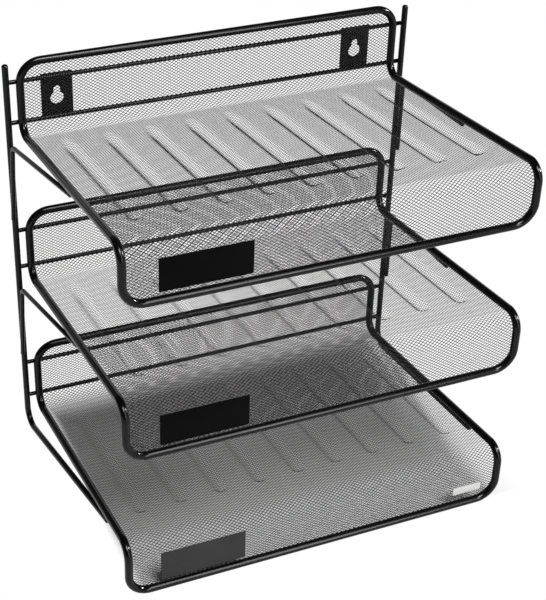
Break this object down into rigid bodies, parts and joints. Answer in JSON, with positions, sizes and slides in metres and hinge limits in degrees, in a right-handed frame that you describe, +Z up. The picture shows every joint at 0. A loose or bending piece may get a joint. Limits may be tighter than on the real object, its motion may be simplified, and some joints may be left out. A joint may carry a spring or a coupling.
{
  "type": "mesh desk shelf",
  "caption": "Tiered desk or wall shelf of black wire and open mesh: sloping ribbed trays with back walls and front aprons on wire posts.",
  "frame": {"origin": "bottom centre of the whole shelf, on the surface it stands on", "axes": "+Z up, -Y towards the front aprons, +X to the right seen from the front"},
  "size_m": [0.3276, 0.2328, 0.323],
  "materials": {
    "wire": "gloss black coating on round steel wire",
    "mesh": "gloss black coating on expanded steel mesh",
    "label": "smooth black plate",
    "badge": "plain white plate"
  },
  "bodies": {
    "root": {"left_post": "wire", "right_post": "wire", "bottom_rim": "wire", "bottom_back_mesh": "mesh", "bottom_floor_mesh": "mesh", "bottom_apron_mesh": "mesh", "bottom_upper_cross_wire": "wire", "bottom_lower_cross_wire": "wire", "bottom_label_plate": "label", "middle_rim": "wire", "middle_back_mesh": "mesh", "middle_floor_mesh": "mesh", "middle_apron_mesh": "mesh", "middle_upper_cross_wire": "wire", "middle_lower_cross_wire": "wire", "middle_label_plate": "label", "top_rim": "wire", "top_back_mesh": "mesh", "top_floor_mesh": "mesh", "top_apron_mesh": "mesh", "top_upper_cross_wire": "wire", "top_lower_cross_wire": "wire", "top_label_plate": "label", "middle_left_strut": "wire", "middle_right_strut": "wire", "top_left_strut": "wire", "top_right_strut": "wire", "left_keyhole_plate": "wire", "right_keyhole_plate": "wire", "badge_plate": "badge"}
  },
  "joints": []
}
